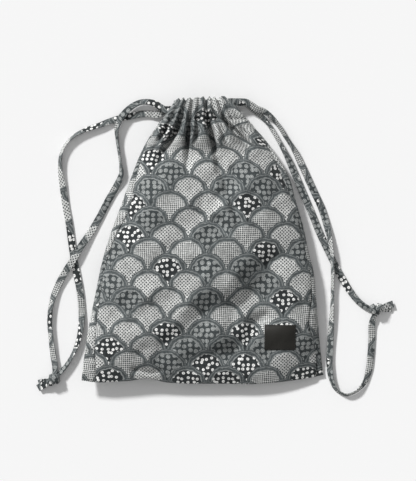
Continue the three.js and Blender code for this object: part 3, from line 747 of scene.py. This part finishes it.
# From the left seam round the left fold, under the bag and round the right fold to the right seam, by the
# cosine of a turn, then its own casing, turned in by a half circle, and its hem.
def makeBackPanel():
    rows = backPanel["rows"]
    level = np.concatenate([np.linspace(bag["bottom"], bag["stitch"], rows),
                            np.linspace(bag["stitch"], bag["top"], backPanel["casingRows"])[1:]])
    middle, half = outlineAt(level)
    left, right = seamsAt(level)
    opened = openShare(level)
    gap = backPanel["sideGap"]
    firstTurn = mix(-np.arccos(np.clip((middle - left) / half, -1, 1)), gap, opened)
    lastTurn = mix(np.pi + np.arccos(np.clip((right - middle) / half, -1, 1)), np.pi - gap, opened)
    turn = mix(firstTurn[:, None], lastTurn[:, None], np.linspace(0, 1, backPanel["cols"])[None, :])
    y = np.broadcast_to(level[:, None], turn.shape)
    u = -np.cos(turn)
    x = middle[:, None] + u * half[:, None]
    under = (turn >= 0) & (turn <= np.pi)
    z = np.where(under, backHeight(u, y), fullHeight(u, y))
    seam = np.minimum(np.abs(x - left[:, None]), np.abs(right[:, None] - x))
    pucker = backPanel["pucker"] * np.sin(y * 0.9 + 2 * np.sin(y * 0.13)) * bell(seam, 4, 4)
    dip = bag["seamDip"] * bell(seam, 0, bag["seamWidth"])
    z = z + np.where(under, 0, (pucker - dip) * (1 - opened[:, None]))
    wave = 0.5 + 0.5 * np.cos(backPanel["pleats"] * np.pi * u + 0.5 * np.sin(7 * u))
    pleat = backPanel["pleat"] * wave * easeBetween(y, backPanel["pleatsFrom"], bag["stitch"])
    first, last = backPanel["flattenOver"]
    pleat = pleat * (1 - backPanel["flatten"] * easeBetween(y, bag["stitch"] + first, bag["stitch"] + last))
    z = np.where(under, z + pleat * (1 - u**6), z)
    up = (y - bag["bottom"]) / (bag["stitch"] - bag["bottom"])
    y = y + (smoothValue(bag["bottomEdge"], x) - bag["bottom"]) * np.clip(1 - up, 0, 1) ** bag["edgePower"]
    uneven = backPanel["edgeDrop"]
    for high, step, start in backPanel["edgeWaves"]:
        uneven = uneven + high * np.sin(step * x + start)
    y = y - uneven * easeBetween(level, bag["stitch"], bag["top"])[:, None]
    points = np.stack([x, y, z], axis=-1)[:, ::-1]
    angle = np.linspace(0, np.pi, backPanel["foldRows"])[1:, None, None]
    halfCircle = np.concatenate([0 * angle, np.sin(angle), 1 - np.cos(angle)], axis=-1)
    turned = points[-1] + backPanel["round"] * halfCircle
    down = np.linspace(0, 1, backPanel["hemRows"])[1:, None]
    x, y, z = turned[-1].T
    z = z - backPanel["round"] * down
    tunnel = easeBetween(down, 0, 0.2) * (1 - easeBetween(down, 0.86, 1))
    lifted = mix(*backPanel["hemHeight"], easeBetween(np.abs(x), *backPanel["hemEnds"]))
    z = mix(z, np.maximum(z, lifted), tunnel)
    hem = np.stack(np.broadcast_arrays(x, y - backPanel["hem"] * down, z), axis=-1)
    points = np.concatenate([points, turned, hem])
    level = np.concatenate([level, level[-1] + np.linspace(1, backPanel["hemMap"], len(turned) + len(hem))])
    along = (level - bag["bottom"])[:, None]
    uv = np.stack(np.broadcast_arrays(runAcross(points), along), axis=-1) + backPanel["mapStart"]
    piece = gridPiece("back_cloth", points, uv, cotton)
    thicken(piece, bag["thickness"])
    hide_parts("back_panel")
    inset = backPanel["stitchInset"]
    row = points[rows - 1, inset:-inset] - np.array([0, 0, backPanel["stitchDrop"]])
    stitchRow("back_stitches", row, greyThread, proud=backPanel["stitchProud"])
    print("back panel made")


# The strings: flat strips of the same cloth, folded and stitched along their edges
strip = {
    "width": 7.0, "thickness": 1.5, "step": 1.5, "clearance": 0.3, "sides": 28,
    "rollShare": 0.74, "squeeze": 0.25, "curl": 0.25, "stitchDip": 0.22,
}
# Points of each free leg from the casing's end: across, along, lift above the floor, roll in degrees
leftFrontLeg = [
    (-3.5, 2, 7.2, 8), (-9.5, 6, 5.8, 20), (-17.5, 8, 4.4, 32), (-24.5, 7.5, 3.2, 38), (-32, 4, 3.0, 30),
    (-40, -3, 3.4, 20), (-45.5, -10.5, 3.3, 22), (-48, -19, 1.7, 56), (-47.5, -30.5, 0, 85),
    (-45.5, -43.5, 0, 85), (-44, -55, 0, 80), (-43.5, -63, 0, 60), (-46, -71, 0, 25), (-50.5, -79.5, 0, 5),
    (-57.5, -92, 0, 3), (-65.5, -107.5, 0, 3), (-75, -123.5, 0.7, 3), (-84.5, -137.5, 2.5, 3),
    (-92, -150.5, 2.9, 3), (-101, -164.5, 1.5, 3), (-109, -180, 0, 20), (-114, -195.5, 0, 45),
    (-115.5, -211.5, 0, 50), (-114, -229.5, 0, 45), (-112, -245.5, 0, 35), (-110, -260.5, 1, 25),
]
leftBackLeg = [
    (-2, -1.5, 2.8, 0), (-7.5, -4.5, 1.4, 6), (-15.5, -4, 0, 12), (-24, -4, 0, 15), (-33.5, -6, 0, 16),
    (-43.5, -8, 0, 14), (-54.5, -11, 0, 26), (-65, -15, 0, 45), (-78, -19.5, 0, 60), (-90, -25.5, 0, 75),
    (-98.5, -33.5, 0, 85), (-103.5, -43, 0, 80), (-105, -57.5, 0, 60), (-102.5, -75.5, 0, 20),
    (-99.5, -95, 0, 4), (-96, -114.5, 0, 3), (-93.5, -133.5, 0, 3), (-91, -150.5, 0, 3),
    (-88, -166.5, 0, 3), (-85, -183, 0, 3), (-83.5, -199.5, 0, 6), (-84, -217.5, 0, 35),
    (-88, -235.5, 0, 60), (-95, -250.5, 0, 70), (-103, -261.5, 0.5, 55),
]
rightFrontLeg = [
    (4, 0, 7.6, 3), (9, -0.3, 7.0, 8), (14.5, -3.5, 6.4, 15), (20, -7, 6, 25), (26, -9, 5.3, 35),
    (34, -14.5, 2.8, 55), (41.5, -23, 0.6, 70), (48.5, -34, 0, 75), (56.5, -46, 0, 60), (64, -61, 0, 20),
    (72, -78, 0, 4), (78.5, -92, 0, 3), (84.5, -105, 0, 3), (90, -123, 0, 20), (93.5, -139, 0.9, 60),
    (95.5, -153, 2.1, 80), (96, -168, 1.8, 85), (96, -185, 0, 85), (95.5, -204, 0, 80), (94.5, -226, 0, 40),
    (93.5, -245, 0, 20), (93, -263, 0, 25), (95, -278, 0, 55), (100, -288.5, 0, 80), (110, -293.5, 0, 85),
    (120, -290, 0, 80), (128, -281.5, 0, 50), (132.5, -269, 0, 15), (134.5, -253, 0, 4), (135.5, -237, 0, 4),
    (135.5, -222, 1.2, 10),
]
rightBackLeg = [
    (4, -0.2, 2.6, 0), (9, -1, 2, 5), (14.5, -5.5, 1.1, 15), (19.5, -10, 0.4, 30), (24.5, -14, 0, 45),
    (30, -20, 0, 65), (36.5, -30, 0, 75), (43, -41, 0, 75), (50, -54, 0, 50), (56.5, -68, 0, 12),
    (63, -83, 0, 3), (68.5, -96, 0, 3), (74.5, -110, 0, 3), (83, -131, 0, 3), (92.5, -151, 0, 3),
    (103, -172, 0, 4), (114, -190, 0, 15), (124, -201.5, 0, 30), (132, -206.5, 1, 30),
]
# Each string: its exit, its knot from there, the way its tails point, and where its pieces start on the print
strings = {
    "left": {"exit": (-37.96, 130.2), "knot": (-112, -270.2), "turn": 205,
             "frontLeg": leftFrontLeg, "backLeg": leftBackLeg,
             "mapStart": {"knot": (46, 15), "run": (9, 200), "front": (3, 0), "back": (71, 0)}},
    "right": {"exit": (34.38, 138.0), "knot": (140.1, -207.5), "turn": 12,
              "frontLeg": rightFrontLeg, "backLeg": rightBackLeg,
              "mapStart": {"knot": (103, 15), "run": (40, 200), "front": (22, 40), "back": (90, 40)}},
}
# Heights of the exits, and how far in and how much higher each leg starts behind them
casingEnds = {"front": 9.4, "back": 4.2, "inside": ((9, 2.5), (4, 1), (0, 0))}


# Strip carried along a path: a flat section with round edges and a stitched dip near each, turned about
# the path by its roll. Level is the sideways direction before the roll.
def stripPiece(name, path, roll, level, mapStart,
               width=strip["width"], thickness=strip["thickness"], pinch=1.0):
    tangent = unit(np.gradient(path, axis=0))
    level = unit(level - (level * tangent).sum(-1, keepdims=True) * tangent)
    upward = np.cross(tangent, level)
    turn = roll[:, None]
    sideways = level * np.cos(turn) + upward * np.sin(turn)
    outward = upward * np.cos(turn) - level * np.sin(turn)
    angle = np.linspace(0, 2 * np.pi, strip["sides"], endpoint=False)
    a = np.sign(np.cos(angle)) * np.abs(np.cos(angle)) ** 0.5 * width / 2
    b = np.sign(np.sin(angle)) * np.abs(np.sin(angle)) ** 0.55 * thickness / 2
    b = b * (1 - strip["stitchDip"] * bell(np.abs(a), 0.36 * width, 0.07 * width))
    run = runAlong(path)
    curl = strip["curl"] * np.sin(run / 19 + mapStart[0])[:, None] * ((2 * a / width) ** 2 - 0.4)[None, :]
    a = a * np.reshape(pinch, (-1, 1))
    points = path[:, None] + sideways[:, None] * a[..., None] + outward[:, None] * (b + curl)[..., None]
    around = np.concatenate([[0], np.cumsum(np.hypot(np.diff(a[0]), np.diff(b))), [2 * width + thickness]])
    uv = np.stack(np.broadcast_arrays(mapStart[0] + around[None, :], mapStart[1] + run[:, None]), axis=-1)
    piece = gridPiece(name, points, uv, cotton, wrapped=True)
    return piece


# Even points along a smooth curve through the given ones.
def evenPath(points, step):
    run = runAlong(points[:, :3])
    at = np.linspace(0, run[-1], int(run[-1] / step) + 2)
    return smoothCurve(np.column_stack([run, points]), at)


# A leg's path and roll: out of the casing, along its points and into the knot. A rolled strip rests on its
# lower edge: w/2 sin(roll) + t/2 cos(roll) above the floor.
def legPath(string, leg, height):
    x, y = string["exit"]
    across, along, lift, degrees = np.array(leg, float).T
    roll = strip["rollShare"] * np.radians(degrees)
    halfWidth = strip["width"] / 2 * (1 - strip["squeeze"] * np.sin(roll))
    rest = halfWidth * np.sin(roll) + strip["thickness"] / 2 * np.cos(roll) + strip["clearance"]
    inward = -np.sign(x)
    start = [[x + inward * far, y, height + raised, 0] for far, raised in casingEnds["inside"]]
    knot = [[x + string["knot"][0], y + string["knot"][1], knotShape["height"] / 2, knotShape["legRoll"]]]
    points = np.concatenate([start, np.column_stack([x + across, y + along, rest + lift, roll]), knot])
    return evenPath(points, strip["step"])


# A leg's strip and its path in metres: narrowed by a bell into the knot, and squeezed where it is rolled.
def makeLeg(name, string, leg, height, mapStart):
    path = legPath(string, leg, height)
    level = np.cross([0.0, 0.0, 1.0], np.gradient(path[:, :3], axis=0))
    run = runAlong(path[:, :3])
    intoKnot = 1 - 0.4 * bell(run, run[-1], 9)
    pinch = intoKnot * (1 - strip["squeeze"] * np.sin(np.abs(path[:, 3])))
    piece = stripPiece(name, path[:, :3], path[:, 3], level, mapStart, pinch=pinch)
    return piece, path[:, :3] * mm


# The knots: a bunched core, two bands wound round it (name, slant, lean, shift along, first angle) and two
# cut tails (name, aim, length, lift)
knotShape = {
    "height": 10.4, "legRoll": 0.3, "coreHalf": 7, "coreSize": (9.2, 5.4), "coreEnds": 0.66, "coreBulge": 3.4,
    "bandSize": (4.8, 1.5), "bandTurn": 2.25, "bandOval": (4.9, 3.4), "bandGrow": 0.10,
    "bands": (("band", 16, 8, -2.2, 2.2), ("cross", -24, -12, 1.7, 4.4)),
    "tails": (("upper", 5, 17.5, 1.5), ("lower", -9, 15.0, 0)), "tailDrop": (4.8, 1.6), "tailRoll": 9,
}


# Matrix that turns places about the upright by degrees.
def spinMatrix(degrees):
    turn = np.radians(degrees)
    return np.array([[np.cos(turn), -np.sin(turn), 0], [np.sin(turn), np.cos(turn), 0], [0, 0, 1]])


# Places in a knot's own frame, tails along its X, turned about the upright and set at its middle.
def knotPlace(string, points):
    x, y = string["exit"]
    return points @ spinMatrix(string["turn"]).T + (x + string["knot"][0], y + string["knot"][1], 0)


# The core is a short wavy strip; a band is a circle drawn out to an oval, its second turn a little wider than
# its first, slanted and leant; a tail runs straight out and eases down to the floor.
def makeKnot(side, string):
    mapStart = string["mapStart"]["knot"]
    pieces = []
    middle = np.array([0, 0, knotShape["height"] / 2])
    ends = knotPlace(string, np.array([[0.0, 0, 0], [0, 1, 0]]))
    x = np.linspace(-knotShape["coreHalf"], knotShape["coreHalf"], 29)
    core = np.column_stack([x, 0.5 * np.sin(x / 2.2), 0.2 * np.cos(x / 2) - 0.3]) + middle
    level = np.broadcast_to(ends[1] - ends[0], core.shape)
    pinch = mix(knotShape["coreEnds"], 1, bell(x, 0, knotShape["coreBulge"]))
    pieces.append(stripPiece(side + "_knot_core", knotPlace(string, core), np.zeros(len(x)), level, mapStart,
                             *knotShape["coreSize"], pinch))
    for band, slant, lean, shift, start in knotShape["bands"]:
        t = np.linspace(0, knotShape["bandTurn"] * np.pi, 90) + start
        grow = 1 + knotShape["bandGrow"] * (t - start) / (2 * np.pi)
        wide, high = knotShape["bandOval"]
        ring = np.column_stack([0.5 * np.sin(t - start), wide * grow * np.cos(t), high * grow * np.sin(t)])
        ring = ring @ spinMatrix(slant).T
        b = np.radians(lean)
        ring = ring @ np.array([[np.cos(b), 0, np.sin(b)], [0, 1, 0], [-np.sin(b), 0, np.cos(b)]]).T
        heart = middle + (shift, 0, 0)
        path = knotPlace(string, ring + heart)
        outward = unit(path - knotPlace(string, heart[None, :]))
        level = np.cross(outward, np.gradient(path, axis=0))
        pieces.append(stripPiece(f"{side}_knot_{band}", path, np.zeros(len(t)), level, mapStart,
                                 *knotShape["bandSize"]))
    for tail, aim, length, lift in knotShape["tails"]:
        run = np.linspace(2.5, length, 24)
        fall = easeBetween(run, 4, length - 2)
        z = mix(*knotShape["tailDrop"], fall) + lift * (1 - 0.4 * fall)
        path = knotPlace(string, np.column_stack([run, np.tan(np.radians(aim)) * run, z]))
        roll = np.radians(knotShape["tailRoll"]) * np.sin(run / 4 + aim)
        level = np.cross([0.0, 0.0, 1.0], np.gradient(path, axis=0))
        pinch = mix(knotShape["coreEnds"], 1, easeBetween(run, 4, 10))
        pieces.append(stripPiece(f"{side}_tail_{tail}", path, roll, level, mapStart, pinch=pinch))
    for piece in pieces:
        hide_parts(side + "_knot")
    return pieces


# The runs inside the casing: where they start and turn as shares of the exit's distance from the middle, how
# soon they reach their lane, their depth below the ridges and height over the floor, and their size
casingRun = {
    "from": 0.72, "to": -0.62, "startBelow": 2.2, "settle": 0.3, "lane": {"left": 127.2, "right": 133.4},
    "depth": (6.4, 7.6), "depthAt": 30, "backHeight": 8.5, "bend": 3, "size": (5.0, 1.2),
}


# A run goes along the front, round a half oval at the far end and back along the back.
def makeCasingRun(side, string):
    x, y = string["exit"]
    share = np.linspace(0, 1, 60)
    across = mix(casingRun["from"], casingRun["to"], share) * x
    lane = casingRun["lane"][side]
    along = mix(y - casingRun["startBelow"], lane, easeBetween(share, 0, casingRun["settle"]))
    depth = mix(*casingRun["depth"], (across / casingRun["depthAt"]) ** 4)
    front = np.column_stack([across, along, casingHeight(across) - depth])
    back = front[::-1] * (1, 1, 0) + (0, 0, casingRun["backHeight"])
    turn = np.linspace(0, np.pi, 14)[1:-1]
    high, low = front[-1, 2], back[0, 2]
    bendX = front[-1, 0] - np.sign(x) * casingRun["bend"] * np.sin(turn)
    bendZ = (high + low) / 2 + (high - low) / 2 * np.cos(turn)
    bend = np.column_stack([bendX, np.full(len(turn), along[-1]), bendZ])
    path = np.concatenate([front, bend, back])
    level = np.broadcast_to([0.0, 1.0, 0.0], path.shape)
    return stripPiece(side + "_casing_run", path, np.zeros(len(path)), level, string["mapStart"]["run"],
                      *casingRun["size"])


# Both strings: the knot, the run in the casing, then the front and the back leg.
def makeStrings():
    for side, string in strings.items():
        attached = makeKnot(side, string)
        attached.append(makeCasingRun(side, string))
        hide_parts(side + "_drawstring")
        for face in ("front", "back"):
            height = casingEnds[face]
            points, mapStart = string[face + "Leg"], string["mapStart"][face]
            leg, path = makeLeg(f"{side}_{face}_leg", string, points, height, mapStart)
            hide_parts(side + "_drawstring")
    print("strings made")


# Stitches: how far apart, how long and thick they are, how proud of the cloth, and how each thins to its ends
stitches = {"pitch": 3.0, "length": 2.1, "radius": 0.22, "proud": 0.12, "first": 0.4, "sides": 6,
            "thin": (0.45, 0.85, 1, 1, 1, 0.85, 0.45)}


# Row of stitches along a path on the cloth: short threads bent up by a half sine, one every pitch.
def stitchRow(name, path, material, **changes):
    s = {**stitches, **changes}
    rings, sides = len(s["thin"]), s["sides"]
    run = runAlong(path)
    starts = np.arange(s["first"], run[-1] - s["length"], s["pitch"])
    share = np.linspace(0, 1, rings)
    at = starts[:, None] + s["length"] * share
    middle = np.stack([np.interp(at, run, path[:, k]) for k in range(3)], axis=-1)
    middle[..., 2] += s["proud"] * np.sin(np.pi * share)
    along = unit(np.gradient(middle, axis=1))
    side = unit(np.cross([0.0, 0.0, 1.0], along))
    upward = np.cross(along, side)
    thin = s["radius"] * np.array(s["thin"])[:, None, None]
    angle = np.linspace(0, 2 * np.pi, sides, endpoint=False)[:, None]
    ring = side[:, :, None] * np.cos(angle) + upward[:, :, None] * np.sin(angle)
    points = (middle[:, :, None] + thin * ring).reshape(-1, 3)
    first = rings * sides * np.arange(len(starts))[:, None, None]
    i, j = np.meshgrid(np.arange(rings - 1), np.arange(sides), indexing="ij")
    corners = [(i, j), (i, j + 1), (i + 1, j + 1), (i + 1, j)]
    quads = np.stack([(first + r * sides + c % sides).reshape(-1) for r, c in corners], axis=-1)
    around = np.arange(sides)
    ends = np.concatenate([first[:, 0] + around[::-1], first[:, 0] + (rings - 1) * sides + around])
    faceUv = points[np.concatenate([quads.ravel(), ends.ravel()]), :2]
    return newPiece(name, points, quads.tolist() + ends.tolist(), faceUv, material)


# Height of the front at places across and along: the highest of its points in each millimetre, smoothed.
def surfaceAt(front, x, y):
    values = np.full(padding["size"], -1.0)
    limits = zip((front[..., 0], front[..., 1]), padding["low"], padding["size"])
    i, j = [np.clip((at - low).round().astype(int), 0, size - 1) for at, low, size in limits]
    np.maximum.at(values, (i, j), front[..., 2])
    for _ in range(3):  # fills millimetres without a point from their neighbours
        around = neighbours(values)
        known = around > 0
        mean = np.where(known, around, 0).sum(0) / np.maximum(known.sum(0), 1)
        values = np.where(values > 0, values, mean)
    for _ in range(4):
        values = np.maximum(values, (values + neighbours(values).sum(0)) / 5)
    return readMap(values, x, y)


# The label: a bare woven patch that lies on the front, sewn down round its edge
label = {
    "width": 31, "height": 25, "cols": 32, "rows": 26, "middle": (77, -97), "thickness": 0.5, "stand": 0.75,
    "edgeDip": 0.25, "edgeReach": 0.8, "stitchLift": 0.1,
    "stitch": {"pitch": 2.4, "length": 1.6, "radius": 0.2},
}


# A flat grid laid on the front's surface, its edge pulled down by a bell.
def makeLabel(front):
    x, y = np.meshgrid(np.linspace(-0.5, 0.5, label["cols"]) * label["width"],
                       np.linspace(-0.5, 0.5, label["rows"]) * label["height"])
    edge = np.minimum(label["width"] / 2 - np.abs(x), label["height"] / 2 - np.abs(y))
    x, y = x + label["middle"][0], y + label["middle"][1]
    z = surfaceAt(front, x, y) + label["stand"] - label["edgeDip"] * bell(edge, 0, label["edgeReach"])
    points = np.stack([x, y, z], axis=-1)
    piece = gridPiece("woven_label", points, points[..., :2], ribbonCloth)
    thicken(piece, label["thickness"])
    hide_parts("label")
    rim = np.concatenate([points[1, 1:-1], points[1:-1, -2], points[-2, -2:0:-1], points[-2:0:-1, 1]])
    rim = rim + np.array([0, 0, label["stitchLift"]])
    stitchRow("label_stitches", rim, blackThread, **label["stitch"])
    print("label made")


makeStrings()
frontPoints = makeFrontPanel()
makeBackPanel()
makeLabel(frontPoints)
casingRow = frontPoints[frontPanel["rows"], 2:-2] + np.array([0, 0, 0.15])
stitchRow("casing_stitches", casingRow, greyThread)
print("stitches made")
